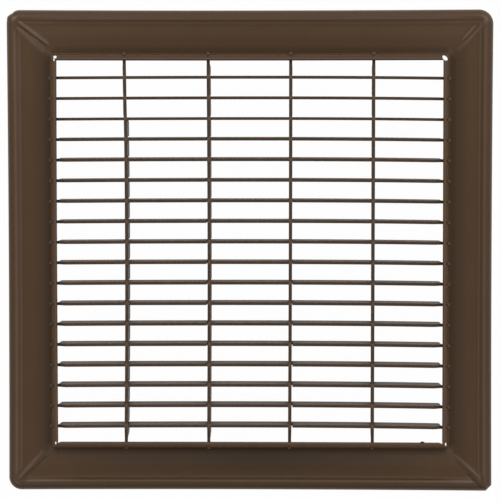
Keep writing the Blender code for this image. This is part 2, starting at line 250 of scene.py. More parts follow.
def painted_steel(name, dullness, specular):
    """Satin enamel over steel: mottled, finely peeled, worn pale on chipped edges, with painted shade in
    hollows and the painted highlights and shade that each piece stores.
    """
    finish = Finish(bpy.data.materials.new(name))
    shader = finish.tree.nodes["Principled BSDF"]
    place = finish.place()
    mottle = finish.noise(place, MOTTLE_SCALE, 3.0)
    cloud = finish.noise(place, CLOUD_SCALE, 2.0)
    peel = finish.noise(place, PEEL_SCALE, 2.0)
    swell = finish.noise(place, SWELL_SCALE, 2.0)
    edge = finish.attribute("edge")
    hollow = finish.attribute("hollow")
    tone = (mottle - 0.5) * 0.5 + (cloud - 0.5) * 0.5 + 0.5
    colour = finish.colour_mix(tone, PAINT_DEEP, PAINT_BASE)
    broken_edge = edge * finish.noise(place, CHIP_SCALE, 2.0).between(*CHIP_RANGE)
    # Pale: worn chips on the edges, and the painted highlights that each piece stores
    pale = finish.attribute("rubbed") * (mottle * PALE_SPREAD + PALE_LEAST)
    colour = finish.colour_mix((broken_edge * EDGE_SHARE).most(pale).least(1.0), colour, PAINT_WEAR_AND_HIGHLIGHT)
    # Dark: painted shade in hollows, from how sharply they bend, and the painted shade and the drip's
    # dark paint that each piece stores
    shade_and_dark_mask = finish.attribute("grimed") * (cloud * DARKENING_SPREAD + DARKENING_LEAST)
    colour = finish.colour_mix((hollow * HOLLOW_SHADE_SHARE).most(shade_and_dark_mask).least(1.0), colour, PAINT_SHADE_AND_DARK)
    nib = finish.noise(place, NIB_SCALE, 1.0).between(*NIB_RANGE)
    roughness = dullness + (mottle - 0.5) * MOTTLE_DULLNESS
    roughness = roughness + hollow * HOLLOW_DULLNESS - broken_edge * EDGE_POLISH
    grain = finish.bump(swell, *SWELL_BUMP)
    surface = finish.bump(peel + nib * NIB_HEIGHT, *PEEL_BUMP, grain)
    shader.inputs["Specular IOR Level"].default_value = specular
    finish.tree.links.new(colour.socket, shader.inputs["Base Color"])
    finish.tree.links.new(roughness.socket, shader.inputs["Roughness"])
    finish.tree.links.new(surface.socket, shader.inputs["Normal"])
    return finish.holder


# Mesh helpers
def shown(name, model, material):
    """A finished piece at the origin, painted and tied to the part."""
    mesh = bpy.data.meshes.new(name)
    model.to_mesh(mesh)
    model.free()
    mesh.materials.append(material)
    piece = bpy.data.objects.new(name, mesh)
    bpy.context.scene.collection.objects.link(piece)
    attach(piece, "root")
    return piece


# How far the middle of each side is drawn in
SIDE_DRAW = 0.00051

# Lie of the fins: arch, drop in their slots, sag of the right end, and lean of the back edge
FIN_ARCH = 0.0005
FIN_DROP = 0.0009
FIN_SAG = 0.0004
FIN_LEAN = 0.0002
FIN_LEAN_RUN = (0.02, -0.06)
FIN_LEANS = {"fin_01": 0.0001, "fin_02": 0.0, "fin_03": -0.0002, "fin_05": 0.0004}

# Lie of the mullions: shift to the right at the top, middle and bottom
MULLION_BOWS = {
    "mullion_1": (-0.0007, 0.0003, -0.0005),
    "mullion_2": (0.0, 0.0005, 0.0),
    "mullion_3": (0.0, -0.0002, -0.0007),
    "mullion_4": (0.0003, 0.0001, -0.0002),
}

# Twist of a mullion's top: shift of its back edge, share of it at the front edge, and where it sets in
MULLION_TWISTS = {"mullion_1": -0.0016}
TWIST_AT_FRONT = 0.05
TWIST_RUN = (0.0806, 0.0826)

# How far the lip of each rail leans in past its place, at the rail's middle and at its ends
LIP_LEAN = {
    "top": (0.0006, 0.0006),
    "bottom": (0.0, 0.0),
    "left": (0.00025, 0.00060),
    "right": (0.0001, 0.0003),
}

# Radii of bends at which paint counts in full as on an edge or in a hollow
EDGE_RADIUS = 0.0006
HOLLOW_RADIUS = 0.0012


def draw_in(model):
    """Draws the middle of each side in, most at the rim, as the rolled strip settles."""
    for vert in model.verts:
        across = vert.co.x / (FACE_WIDTH / 2)
        up = vert.co.y / (FACE_HEIGHT / 2)
        vert.co.x -= SIDE_DRAW * across ** 3 * (1 - min(up * up, 1.0))
        vert.co.y -= SIDE_DRAW * up ** 3 * (1 - min(across * across, 1.0))


def fin_shift(x):
    """How far up the fins lie at an X: they hang low in their slots and arch up in the middle."""
    across = x / FIN_REACH
    return FIN_ARCH * (1 - min(across * across, 1.0)) - FIN_DROP - FIN_SAG * max(across, 0.0) ** 3


def fin_lean(name, y):
    """How much further up a fin's back edge lies than its front edge."""
    return FIN_LEANS.get(name, FIN_LEAN + FIN_LEAN * smooth_step(*FIN_LEAN_RUN, y))


def mullion_shift(name, y):
    """How far to the right a mullion lies at a Y, from its places at the top, middle and bottom."""
    top, centre, bottom = MULLION_BOWS[name]
    up = y / MULLION_REACH
    return centre + (top - bottom) / 2 * up + ((top + bottom) / 2 - centre) * up * up


def bend_fin(model, name):
    """Lays a straight fin as it hangs, arches and leans."""
    for vert in model.verts:
        back = (BAR_FRONT - vert.co.z) / (BAR_FRONT - FIN_BACK)
        vert.co.y += fin_shift(vert.co.x) + fin_lean(name, vert.co.y) * back


def bend_mullion(model, name):
    """Bows a straight mullion and twists its top."""
    twist = MULLION_TWISTS.get(name, 0.0)
    for vert in model.verts:
        back = (BAR_FRONT - vert.co.z) / BAR_FRONT
        twisted = twist * smooth_step(*TWIST_RUN, vert.co.y)
        share = TWIST_AT_FRONT + (1 - TWIST_AT_FRONT) * back
        vert.co.x += mullion_shift(name, vert.co.y) + twisted * share


def lean_lips(model):
    """Leans the lips in over the opening, by each rail's own amount."""
    rails = ((0, FACE_WIDTH, ("left", "right")), (1, FACE_HEIGHT, ("bottom", "top")))
    for vert in model.verts:
        for axis, size, names in rails:
            side = 1 if vert.co[axis] > 0 else -1
            inset = size / 2 - abs(vert.co[axis])
            at_middle, at_ends = LIP_LEAN[names[side > 0]]
            out = (vert.co[1 - axis] / FIN_REACH) ** 2
            lean = at_middle + (at_ends - at_middle) * out
            if inset < LIP_INSET + SHEET:
                vert.co[axis] -= side * lean * smooth_step(WALL_FOOT[0], LIP_INSET, inset)


def mark_bends(model):
    """Stores how sharply the surface bends out, and in, at each vertex."""
    edge = model.verts.layers.float.new("edge")
    hollow = model.verts.layers.float.new("hollow")
    model.normal_update()
    for vert in model.verts:
        bends = [0.0]
        for link in vert.link_edges:
            other = link.other_vert(vert)
            run = other.co - vert.co
            if run.length_squared > 0.0:
                bends.append((other.normal - vert.normal).dot(run) / run.length_squared)
        vert[edge] = min(max(bends) * EDGE_RADIUS, 1.0)
        vert[hollow] = min(-min(bends) * HOLLOW_RADIUS, 1.0)


def shade(mesh, sharp_angle):
    """Shades a mesh smooth, but for its edges sharper than an angle in degrees."""
    mesh.shade_smooth()
    mesh.set_sharp_from_angle(angle=math.radians(sharp_angle))


# Frame: rolled section swept round two rails and a folded corner
def arc_points(centre, radii, start, end, steps):
    """Points on an arc from one angle to another, in degrees, without its first point."""
    points = []
    for step in range(1, steps + 1):
        angle = math.radians(start + (end - start) * step / steps)
        points.append((centre[0] + radii[0] * math.cos(angle), centre[1] + radii[1] * math.sin(angle)))
    return points


def wave_points(start, end, steps):
    """Points from one level to the next, level at both, without the first point."""
    points = []
    for step in range(1, steps + 1):
        share = step / steps
        rise = (1 - math.cos(math.pi * share)) / 2
        points.append((start[0] + (end[0] - start[0]) * share, start[1] + (end[1] - start[1]) * rise))
    return points


def rounded(points, radius, steps):
    """The same outline with each of its bends rounded off."""
    smooth = [Vector(points[0])]
    for before, bend, after in zip(points, points[1:], points[2:]):
        corner = Vector(bend)
        ways = [Vector(end) - corner for end in (before, after)]
        first, last = [corner + way.normalized() * min(radius, way.length * BEND_SHARE) for way in ways]
        for step in range(steps + 1):
            share = step / steps
            smooth.append(first.lerp(corner, share).lerp(corner.lerp(last, share), share))
    return smooth + [Vector(points[-1])]


def evened(points, longest):
    """The same outline with its long stretches split up."""
    split = [Vector(points[0])]
    for start, end in zip(points, points[1:]):
        pieces = max(1, math.ceil((Vector(end) - Vector(start)).length / longest))
        for piece in range(1, pieces + 1):
            split.append(Vector(start).lerp(Vector(end), piece / pieces))
    return split


def frame_section():
    """Face of the rolled strip as (inset, height), from the foot round to the lip."""
    section = [(FOOT_WIDTH, 0.0), (FOOT_RADIUS, 0.0)]
    foot_radii = (FOOT_RADIUS, FOOT_RADIUS)
    section += arc_points((FOOT_RADIUS, FOOT_RADIUS), foot_radii, 270, 180, ARC_STEPS)
    dome_radii = (RIM_CREST[0], RIM_CREST[1] - FOOT_RADIUS)
    section += arc_points((RIM_CREST[0], FOOT_RADIUS), dome_radii, 180, 90, RIM_STEPS)
    levels = [RIM_SHOULDER, GROOVE, RIB, FIELD_START]
    section.append(RIM_SHOULDER)
    for start, end in zip(levels, levels[1:]):
        section += wave_points(start, end, WAVE_STEPS)
    section.append(FIELD_END)
    for step in range(1, SLOPE_STEPS):
        share = step / SLOPE_STEPS
        inset = FIELD_END[0] + (GUTTER[0] - FIELD_END[0]) * share
        section.append((inset, FIELD_END[1] + (GUTTER[1] - FIELD_END[1]) * share ** SLOPE_CURVE))
    lip_base = LIP_HEIGHT - LIP_RADIUS
    wall = [section[-1], GUTTER, WALL_FOOT, (WALL_FOOT[0], lip_base)]
    section += rounded(wall, BEND_RADIUS, BEND_STEPS)[1:]
    lip_radii = (LIP_RADIUS, LIP_RADIUS)
    section += arc_points((WALL_FOOT[0] + LIP_RADIUS, lip_base), lip_radii, 180, 90, ARC_STEPS)
    section.append((LIP_INSET - LIP_RADIUS, LIP_HEIGHT))
    section += arc_points((LIP_INSET - LIP_RADIUS, lip_base), lip_radii, 90, 0, ARC_STEPS)
    section.append((LIP_INSET, LIP_HEIGHT - LIP_TURN_DOWN))
    return evened(section, SECTION_STEP)


def under_skin(section):
    """The face moved in by the thickness of the sheet; straight down below the groove and rib."""
    shifted = []
    for index, point in enumerate(section):
        if RIM_CREST[0] < point.x <= FIELD_END[0] and point.y > GUTTER[1]:
            shifted.append(point - Vector((0.0, SHEET)))
            continue
        before = point - section[max(index - 1, 0)]
        after = section[min(index + 1, len(section) - 1)] - point
        sides = [Vector((run.y, -run.x)).normalized() for run in (before, after) if run.length > 0]
        way = sum(sides, Vector((0.0, 0.0))).normalized()
        shifted.append(point + way * SHEET / way.dot(sides[0]))
    return shifted


class Corner:
    """One corner of the face, with the directions in which its two rails leave it."""

    def __init__(self, x_side, y_side, radius, clipped=False):
        self.point = Vector((x_side * FACE_WIDTH / 2, y_side * FACE_HEIGHT / 2))
        self.along_x = Vector((-x_side, 0.0))
        self.along_y = Vector((0.0, -y_side))
        self.radius = radius
        self.clipped = clipped

    def turn(self, inset, share):
        """Point on the turn at an inset; share runs from 0 on the X rail to 1 on the Y rail."""
        if inset >= self.radius:
            return self.point + (self.along_x + self.along_y) * inset
        start = self.point + self.along_x * self.radius + self.along_y * inset
        end = self.point + self.along_y * self.radius + self.along_x * inset
        if self.clipped:
            return start.lerp(end, share)
        centre = self.point + (self.along_x + self.along_y) * self.radius
        angle = share * math.pi / 2
        reach = self.radius - inset
        return centre - self.along_y * reach * math.cos(angle) - self.along_x * reach * math.sin(angle)

    def past(self, inset, distance, on_x_rail):
        """Point on a rail, at a distance past the end of the turn."""
        start = max(inset, self.radius) + distance
        if on_x_rail:
            return self.point + self.along_x * start + self.along_y * inset
        return self.point + self.along_y * start + self.along_x * inset


# Pleats and creases pressed in at each corner: two ends, as distances from the corner along its rails,
# then rise, share of painted highlight along it (painted shade where negative), and half width at either
# end
PLEATS = {
    "top_left": (
        ((0.0076, 0.0070), (0.0260, 0.0210), 0.00045, 1.00, 0.0009, 0.0013),
        ((0.0070, 0.0112), (0.0236, 0.0262), 0.00040, 0.70, 0.0009, 0.0022),
        ((0.0072, 0.0092), (0.0252, 0.0224), -0.00050, -0.80, 0.0005, 0.0006),
        ((0.0036, 0.0040), (0.0060, 0.0060), 0.00005, 0.80, 0.0012, 0.0016),
        ((0.0040, 0.0016), (0.0056, 0.0028), 0.0, -0.80, 0.0008, 0.0006),
    ),
    "top_right": (
        ((0.0117, 0.0101), (0.0191, 0.0186), 0.00022, 0.70, 0.0007, 0.0007),
        ((0.0083, 0.0109), (0.0218, 0.0255), 0.00030, 0.60, 0.0008, 0.0013),
        ((0.0098, 0.0112), (0.0179, 0.0193), -0.00022, -0.45, 0.0005, 0.0005),
        ((0.0121, 0.0090), (0.0202, 0.0178), -0.00012, -0.30, 0.0005, 0.0005),
        ((0.0036, 0.0054), (0.0067, 0.0093), 0.00010, 0.60, 0.0014, 0.0014),
    ),
    "bottom_left": (
        ((0.0065, 0.0078), (0.0218, 0.0246), 0.00045, 0.75, 0.0010, 0.0014),
        ((0.0092, 0.0078), (0.0237, 0.0208), -0.00040, -0.60, 0.0008, 0.0009),
        ((0.0120, 0.0068), (0.0340, 0.0068), 0.00030, 0.85, 0.0013, 0.0008),
    ),
    "bottom_right": (
        ((0.0075, 0.0088), (0.0222, 0.0225), 0.00040, 0.80, 0.0008, 0.0010),
        ((0.0067, 0.0030), (0.0155, 0.0110), -0.00040, -0.80, 0.0009, 0.0009),
        ((0.0110, 0.0090), (0.0225, 0.0185), -0.00020, -0.35, 0.0010, 0.0013),
        ((0.0125, 0.0069), (0.0320, 0.0068), 0.00030, 0.85, 0.0013, 0.0008),
        ((0.0042, 0.0004), (0.0006, 0.0036), 0.0, -0.90, 0.0006, 0.0006),
        ((0.0058, 0.0012), (0.0014, 0.0050), 0.0, 0.60, 0.0004, 0.0004),
    ),
}
PLEAT_FADE = 0.0018

# Where the groove and rib come up along the X rail and the Y rail of a corner, from its mitre on, how
# much of them the corner tool flattens, and how flat they are along a whole rail
GROOVE_RUNS = {
    "top_left": ((0.006, 0.026), (0.004, 0.012)),
    "top_right": ((0.008, 0.024), (0.004, 0.009)),
    "bottom_left": ((0.002, 0.006), (0.003, 0.008)),
    "bottom_right": ((0.002, 0.006), (0.002, 0.008)),
}
FLATTENED_SHARE = 0.7
RAIL_FLATNESS = {"left": 0.60}

# Corners of the face, two with a fold and two with a seam
CORNERS = {
    "top_right": Corner(1, 1, 0.0090),
    "bottom_left": Corner(-1, -1, 0.0080),
    "top_left": Corner(-1, 1, 0.0084),
    "bottom_right": Corner(1, -1, 0.0037, clipped=True),
}

# Bulge and kink of the rim at the top left seam: place and shift, as distances in from the corner, and
# spread
SEAM_DENTS = (
    ((0.0009, 0.0044), (-0.0005, -0.0001), 0.0015),
    ((0.0035, 0.0017), (0.0001, 0.00045), 0.0013),
)


def corner_distances(name, spot):
    """How far a spot on the face lies from a corner, along X and along Y."""
    corner = CORNERS[name]
    from_corner = spot - corner.point
    return from_corner.dot(corner.along_x), from_corner.dot(corner.along_y)


def pleat_sums(name, spot):
    """How far a corner's pleats lift or sink the face at a spot, and their share of painted highlight
    there, negative for painted shade.
    """
    place = Vector(corner_distances(name, spot))
    total_rise = 0.0
    total_share = 0.0
    for start, end, rise, share, start_width, end_width in PLEATS[name]:
        run = Vector(end) - Vector(start)
        along = (place - Vector(start)).dot(run) / run.length_squared
        aside = place - Vector(start) - run * along
        width = start_width + (end_width - start_width) * min(max(along, 0.0), 1.0)
        fade = PLEAT_FADE / run.length
        ends = smooth_step(-fade, fade, along) * (1 - smooth_step(1 - fade, 1 + fade, along))
        shape = math.exp(-aside.length_squared / width ** 2) * ends
        total_rise += rise * shape
        total_share += share * shape
    return total_rise, total_share


def groove_kept(name, spot):
    """How much of the groove and rib is left at a spot near a corner, and on which rail it lies."""
    from_x, from_y = corner_distances(name, spot)
    on_y_rail = from_x < from_y
    start, end = GROOVE_RUNS[name][on_y_rail]
    rail = name.split("_")[on_y_rail]
    return smooth_step(start, end, abs(from_x - from_y)) * (1 - RAIL_FLATNESS.get(rail, 0.0)), rail


def pressed_rise(name, spot, inset, height):
    """How far the corner tool lifts the face: groove and rib squeezed flat, pleats raised."""
    if not (RIM_CREST[0] < inset < WALL_FOOT[0] and height > GUTTER[1]):
        return 0.0
    rise = pleat_sums(name, spot)[0]
    if RIM_SHOULDER[0] < inset < FIELD_START[0]:
        share = (inset - RIM_SHOULDER[0]) / (FIELD_START[0] - RIM_SHOULDER[0])
        level = RIM_SHOULDER[1] + (FIELD_START[1] - RIM_SHOULDER[1]) * share
        rise += (level - height) * FLATTENED_SHARE * (1 - groove_kept(name, spot)[0])
    return rise


def seam_stations(name, on_x_rail):
    """Stations from a seam out along one rail, as (corner's name, place)."""
    corner = CORNERS[name]
    stations = []
    for step in range(TURN_STEPS + 1):
        share = 0.5 * (1 - step / TURN_STEPS)
        share = share if on_x_rail else 1 - share
        stations.append((name, lambda inset, share=share: corner.turn(inset, share)))
    return stations + rail_stations(name, on_x_rail)


def rail_stations(name, on_x_rail):
    """Closely spaced stations from the end of a corner's turn out along one rail."""
    corner = CORNERS[name]
    stations = []
    for step in range(1, NEAR_STEPS + 1):
        distance = NEAR_REACH * step / NEAR_STEPS
        place = lambda inset, distance=distance: corner.past(inset, distance, on_x_rail)
        stations.append((name, place))
    return stations


def fold_stations(name):
    """Stations round a folded corner, from its X rail to its Y rail."""
    corner = CORNERS[name]
    stations = rail_stations(name, True)[::-1]
    for step in range(2 * TURN_STEPS + 1):
        share = step / (2 * TURN_STEPS)
        stations.append((name, lambda inset, share=share: corner.turn(inset, share)))
    return stations + rail_stations(name, False)


def span_stations(before, after):
    """Stations along the middle of a rail, between two corners' own."""
    stations = []
    for step in range(1, FAR_STEPS):
        share = step / FAR_STEPS
        name = before[0] if share < 0.5 else after[0]
        place = lambda inset, share=share: before[1](inset).lerp(after[1](inset), share)
        stations.append((name, place))
    return stations


def half_stations(first_seam, fold, last_seam):
    """Stations of one half of the frame, as (corner's name, place), from seam to seam."""
    runs = [seam_stations(first_seam, True), fold_stations(fold), seam_stations(last_seam, False)[::-1]]
    stations = list(runs[0])
    for run in runs[1:]:
        stations += span_stations(stations[-1], run[0])
        stations += run
    return stations


def rolled_strip(stations):
    """One half of the frame: a grid whose columns go round the sheet and whose rows are the stations."""
    face = frame_section()
    ring = face + under_skin(face)[::-1] + face[:1]
    over = face + face[::-1] + face[:1]
    columns = len(ring) - 1
    rows = len(stations) - 1
    model = bmesh.new()
    bmesh.ops.create_grid(model, x_segments=columns, y_segments=rows, size=1.0)
    for vert in model.verts:
        column = round((vert.co.x + 1) / 2 * columns)
        name, place = stations[round((vert.co.y + 1) / 2 * rows)]
        inset, height = ring[column]
        spot = place(inset)
        face_inset, face_height = over[column]
        height += pressed_rise(name, place(face_inset), face_inset, face_height)
        vert.co = (spot.x, spot.y, FLOOR_LINE + height)
    bmesh.ops.remove_doubles(model, verts=model.verts, dist=WELD)
    bmesh.ops.dissolve_degenerate(model, edges=model.edges, dist=WELD)
    ends = [edge for edge in model.edges if edge.is_boundary]
    bmesh.ops.holes_fill(model, edges=ends, sides=0)
    bmesh.ops.recalc_face_normals(model, faces=model.faces)
    return model


def dent_seam(model):
    """Knocks the rim out of round at the top left seam."""
    corner = CORNERS["top_left"]
    for vert in model.verts:
        place = Vector(corner_distances("top_left", vert.co.xy))
        for centre, (shift_x, shift_y), spread in SEAM_DENTS:
            share = math.exp(-(place - Vector(centre)).length_squared / spread ** 2)
            shift = (corner.along_x * shift_x + corner.along_y * shift_y) * share
            vert.co += shift.to_3d()


def plain_object(name, model):
    """An object at the origin that only serves to cut or be cut."""
    mesh = bpy.data.meshes.new(name)
    model.to_mesh(mesh)
    model.free()
    cutter = bpy.data.objects.new(name, mesh)
    bpy.context.scene.collection.objects.link(cutter)
    return cutter


def add_block(model, low, high):
    """Adds a closed block between two corners."""
    size = Vector(high) - Vector(low)
    spot = Matrix.Translation((Vector(low) + Vector(high)) / 2)
    bmesh.ops.create_cube(model, size=1.0, matrix=spot @ Matrix.Diagonal(size).to_4x4())


def tab_slots(x_side, y_side):
    """Cutter for the slots in the wall and the shoulder of the lip, along two rails."""
    model = bmesh.new()
    low = BAR_FRONT - TAB_CENTRE_DEPTH - TAB_HALF_DEPTH - SLOT_CLEARANCE
    high = LIP_TOP + SHEET
    inner_x = FACE_WIDTH / 2 - WALL_FOOT[0] - SLOT_REACH
    inner_y = FACE_HEIGHT / 2 - WALL_FOOT[0] - SLOT_REACH
    across = sorted((x_side * inner_x, x_side * FIN_REACH))
    half = FIN_THICKNESS / 2 + SLOT_CLEARANCE
    for place in FIN_PLACES:
        place += fin_shift(x_side * FIN_REACH)
        add_block(model, (across[0], place - half, low), (across[1], place + half, high))
    across = sorted((y_side * inner_y, y_side * MULLION_REACH))
    half = MULLION_THICKNESS / 2 + SLOT_CLEARANCE
    for name, place in zip(MULLION_NODES, MULLION_PLACES):
        place += mullion_shift(name, y_side * MULLION_REACH)
        add_block(model, (place - half, across[0], low), (place + half, across[1], high))
    return plain_object("tab_slots", model)


# Relief holes through the lip: place of the middle, as distances from the corner, half sizes, and turn
# in degrees
RELIEFS = {
    "top_right": ((0.0297, 0.0294, 0.0017, 0.0010, -35.0),),
    "bottom_left": ((0.0293, 0.0299, 0.0003, 0.0009, 0.0),),
    "top_left": ((0.0299, 0.0287, 0.0009, 0.0007, 0.0), (0.0293, 0.0302, 0.0003, 0.0010, 0.0)),
    "bottom_right": ((0.0285, 0.0297, 0.0004, 0.0010, 0.0),),
}
RELIEF_SIDES = 24

# Slanted ends of the bottom lip: length along the rail, depth at the corner, overrun past the lip, and
# nick into the side lip
LIP_END_CUTS = ("bottom_left", "bottom_right")
LIP_END_LENGTH = 0.0024
LIP_END_DEPTH = 0.0008
LIP_END_OVERRUN = 0.0003
LIP_END_NICK = 0.0001


def relief_holes(name):
    """Cutters for the relief hole of a corner."""
    corner = CORNERS[name]
    cutters = []
    for from_x, from_y, half_x, half_y, turn in RELIEFS[name]:
        spot = corner.point + corner.along_x * from_x + corner.along_y * from_y
        turned = Matrix.Rotation(math.radians(turn), 4, "Z")
        placed = Matrix.Translation((spot.x, spot.y, LIP_TOP)) @ turned
        model = bmesh.new()
        bmesh.ops.create_cone(
            model, cap_ends=True, segments=RELIEF_SIDES, radius1=1.0, radius2=1.0,
            depth=2 * LIP_TURN_DOWN, matrix=placed @ Matrix.Diagonal((half_x, half_y, 1, 1)))
        cutters.append(plain_object("relief_" + name, model))
    return cutters


def lip_end_cut(name):
    """Wedge that slants the end of the bottom lip at a corner."""
    corner = CORNERS[name]
    model = bmesh.new()
    bmesh.ops.create_cube(model, size=1.0)
    for vert in model.verts:
        along = vert.co.x + 0.5
        from_x = LIP_INSET - LIP_END_NICK + LIP_END_LENGTH * along
        from_y = LIP_INSET - LIP_END_DEPTH * (1 - along)
        if vert.co.y > 0:
            from_y = LIP_INSET + LIP_END_OVERRUN
        spot = corner.point + corner.along_x * from_x + corner.along_y * from_y
        height = LIP_TOP + SHEET if vert.co.z > 0 else LIP_TOP - LIP_TURN_DOWN - SHEET
        vert.co = (spot.x, spot.y, height)
    bmesh.ops.recalc_face_normals(model, faces=model.faces)
    return plain_object("lip_end_" + name, model)


# Lines along each rail: painted highlight where the share is positive, on the rim, rib, gutter and lip,
# and painted shade where it is negative, in the groove, on the bottom rim's outer side, on the field and
# slope and on the lip's turned-down edge: inset, half width and share
RAIL_LINES = {
    "top": (
        (0.0052, 0.0010, 0.35),
        (0.0077, 0.0005, -0.80),
        (0.0210, 0.0035, -0.06),
        (0.0258, 0.0010, 0.25),
        (0.0293, 0.0004, 1.00),
        (0.0304, 0.0003, -0.70),
    ),
    "bottom": (
        (0.0030, 0.0017, -0.35),
        (0.0062, 0.0006, 0.50),
        (0.0125, 0.0045, -0.10),
        (0.0205, 0.0040, -0.32),
        (0.0258, 0.0012, 0.20),
        (0.0300, 0.0005, 0.70),
    ),
    "left": (
        (0.0053, 0.0008, 0.70),
        (0.0070, 0.0006, 0.35),
        (0.0083, 0.0005, 0.50),
        (0.0210, 0.0037, -0.42),
        (0.0258, 0.0012, 0.35),
        (0.0297, 0.0005, 0.70),
    ),
    "right": (
        (0.0050, 0.0008, 0.50),
        (0.0083, 0.0005, 0.30),
        (0.0208, 0.0037, -0.40),
        (0.0258, 0.0012, 0.35),
        (0.0294, 0.0005, 0.80),
    ),
}

# Painted light on the field and slope of a rail where positive and painted shade where negative, at its
# middle and at its ends
FIELD_SHARES = {"bottom": (-0.60, 0.12), "top": (0.0, 0.20)}
FIELD_FADE_IN = (0.0040, 0.0200)
FIELD_FADE_OUT = (0.0262, 0.0272)


def field_share(rail, inset, spot):
    """How much painted light, or painted shade where negative, a rail's field and slope carry at a spot.
    """
    at_middle, at_ends = FIELD_SHARES.get(rail, (0.0, 0.0))
    across = min(abs(spot.x) / (FACE_WIDTH / 2 - LIP_INSET), 1.0)
    inside = smooth_step(*FIELD_FADE_IN, inset) * (1 - smooth_step(*FIELD_FADE_OUT, inset))
    return inside * (at_middle * (1 - across ** 2) + at_ends * across ** 4)


def rail_share(rail, inset, kept):
    """How much painted highlight, or painted shade where negative, the lines along a rail carry at an
    inset.
    """
    total = 0.0
    for line_inset, width, share in RAIL_LINES[rail]:
        fade = kept if RIM_CREST[0] < line_inset < FIELD_START[0] else 1.0
        total += fade * share * math.exp(-((inset - line_inset) / width) ** 2)
    return total


def mark_frame_paint(model):
    """Stores the frame's painted highlights and painted shade, from its rail lines, fields and pleats.
    """
    rubbed = model.verts.layers.float.new("rubbed")
    grimed = model.verts.layers.float.new("grimed")
    for vert in model.verts:
        name = ("top_" if vert.co.y > 0 else "bottom_") + ("right" if vert.co.x > 0 else "left")
        spot = vert.co.xy
        kept, rail = groove_kept(name, spot)
        inset = min(corner_distances(name, spot))
        kept /= 1 - RAIL_FLATNESS.get(rail, 0.0)
        share = rail_share(rail, inset, kept) + field_share(rail, inset, spot)
        if inset < GUTTER[0]:
            share += pleat_sums(name, spot)[1]
        vert[rubbed] = min(max(share, 0.0), 1.0)
        vert[grimed] = min(max(-share, 0.0), 1.0)


# Angle in degrees past which an edge of the frame is shaded sharp
FRAME_SHARP_ANGLE = 40


def frame_half(node, first_seam, fold, last_seam, x_side, y_side, material):
    """One half of the frame with its holes and slots cut and its paint marked."""
    model = rolled_strip(half_stations(first_seam, fold, last_seam))
    piece = plain_object(node + "_strip", model)
    cutters = [tab_slots(x_side, y_side)]
    for name in (first_seam, fold, last_seam):
        cutters += relief_holes(name)
        if name in LIP_END_CUTS:
            cutters.append(lip_end_cut(name))
    for cutter in cutters:
        cut = piece.modifiers.new(cutter.name, "BOOLEAN")
        cut.operation = "DIFFERENCE"
        cut.solver = "EXACT"
        cut.object = cutter
    bpy.context.view_layer.update()
    depsgraph = bpy.context.evaluated_depsgraph_get()
    cut_mesh = bpy.data.meshes.new_from_object(piece.evaluated_get(depsgraph))
    for spent in [piece] + cutters:
        bpy.data.objects.remove(spent, do_unlink=True)
    model = bmesh.new()
    model.from_mesh(cut_mesh)
    mark_bends(model)
    mark_frame_paint(model)
    lean_lips(model)
    dent_seam(model)
    draw_in(model)
    skin = shown(node + "_skin", model, material)
    shade(skin.data, FRAME_SHARP_ANGLE)
    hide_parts(node)


# Bars: copies of the cut strips with their edges eased and their sides thickened by paint
BAR_EDGE = 0.00012
BAR_SPANS = 24
BAR_FLAT_ANGLE = 1
BAR_BEVEL_ANGLE = 15
BAR_SHARP_ANGLE = 50
PAINT_BUILD = {"fin_paint": 0.00010, "mullion_paint": 0.00017}

# Painted light and shade on the bars: share of painted highlight on the sides and of painted shade on
# the front, how squarely a face has to point sideways or to the front for them, and distances from the
# tab's end at which the painted highlight on its tip starts and is full
SIDE_HIGHLIGHT = 0.65
SIDE_FACING = (0.5, 0.9)
FRONT_SHADE = 0.62
FRONT_FACING = (0.4, 0.8)
TIP_START = 0.0018
TIP_FULL = 0.0012


def mark_bar_paint(model, thin, axis, reach):
    """Stores the painted highlight on a bar's sides and tab tips and the painted shade on its front
    edge.
    """
    rubbed = model.verts.layers.float.new("rubbed")
    grimed = model.verts.layers.float.new("grimed")
    for vert in model.verts:
        side = SIDE_HIGHLIGHT * smooth_step(*SIDE_FACING, abs(vert.normal[thin]))
        tip = smooth_step(reach - TIP_START, reach - TIP_FULL, abs(vert.co[axis]))
        vert[rubbed] = max(side, tip)
        vert[grimed] = FRONT_SHADE * smooth_step(*FRONT_FACING, vert.normal.z) * (1 - tip)


def bar_piece(node, material, slot, bend):
    """A fin or mullion as the frame gives it, eased, painted and bent."""
    model = bmesh.new()
    model.from_mesh(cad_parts[node].data)
    bmesh.ops.remove_doubles(model, verts=model.verts, dist=WELD)
    flat = math.radians(BAR_FLAT_ANGLE)
    bmesh.ops.dissolve_limit(model, angle_limit=flat, verts=model.verts, edges=model.edges)
    least = math.radians(BAR_BEVEL_ANGLE)
    sharp = [edge for edge in model.edges if edge.calc_face_angle(0.0) > least]
    bmesh.ops.bevel(
        model, geom=sharp, offset=BAR_EDGE, offset_type="OFFSET", segments=3, profile=0.5,
        affect="EDGES", material=-1, clamp_overlap=True)
    low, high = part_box(node)
    axis = max(range(3), key=lambda i: high[i] - low[i])
    normal = Vector([1.0 if i == axis else 0.0 for i in range(3)])
    for step in range(1, BAR_SPANS):
        spot = low.lerp(high, step / BAR_SPANS)
        bmesh.ops.bisect_plane(
            model, geom=model.verts[:] + model.edges[:] + model.faces[:], dist=WELD,
            plane_co=spot, plane_no=normal)
    thin = min(range(3), key=lambda i: high[i] - low[i])
    centre = (low[thin] + high[thin]) / 2
    for vert in model.verts:
        vert.co[thin] += math.copysign(PAINT_BUILD[slot], vert.co[thin] - centre)
    mark_bends(model)
    mark_bar_paint(model, thin, axis, high[axis])
    draw_in(model)
    bend(model, node)
    bar = shown(node + "_bar", model, material)
    shade(bar.data, BAR_SHARP_ANGLE)
    even = bar.modifiers.new("even_shading", "WEIGHTED_NORMAL")
    even.keep_sharp = True
    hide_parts(node)


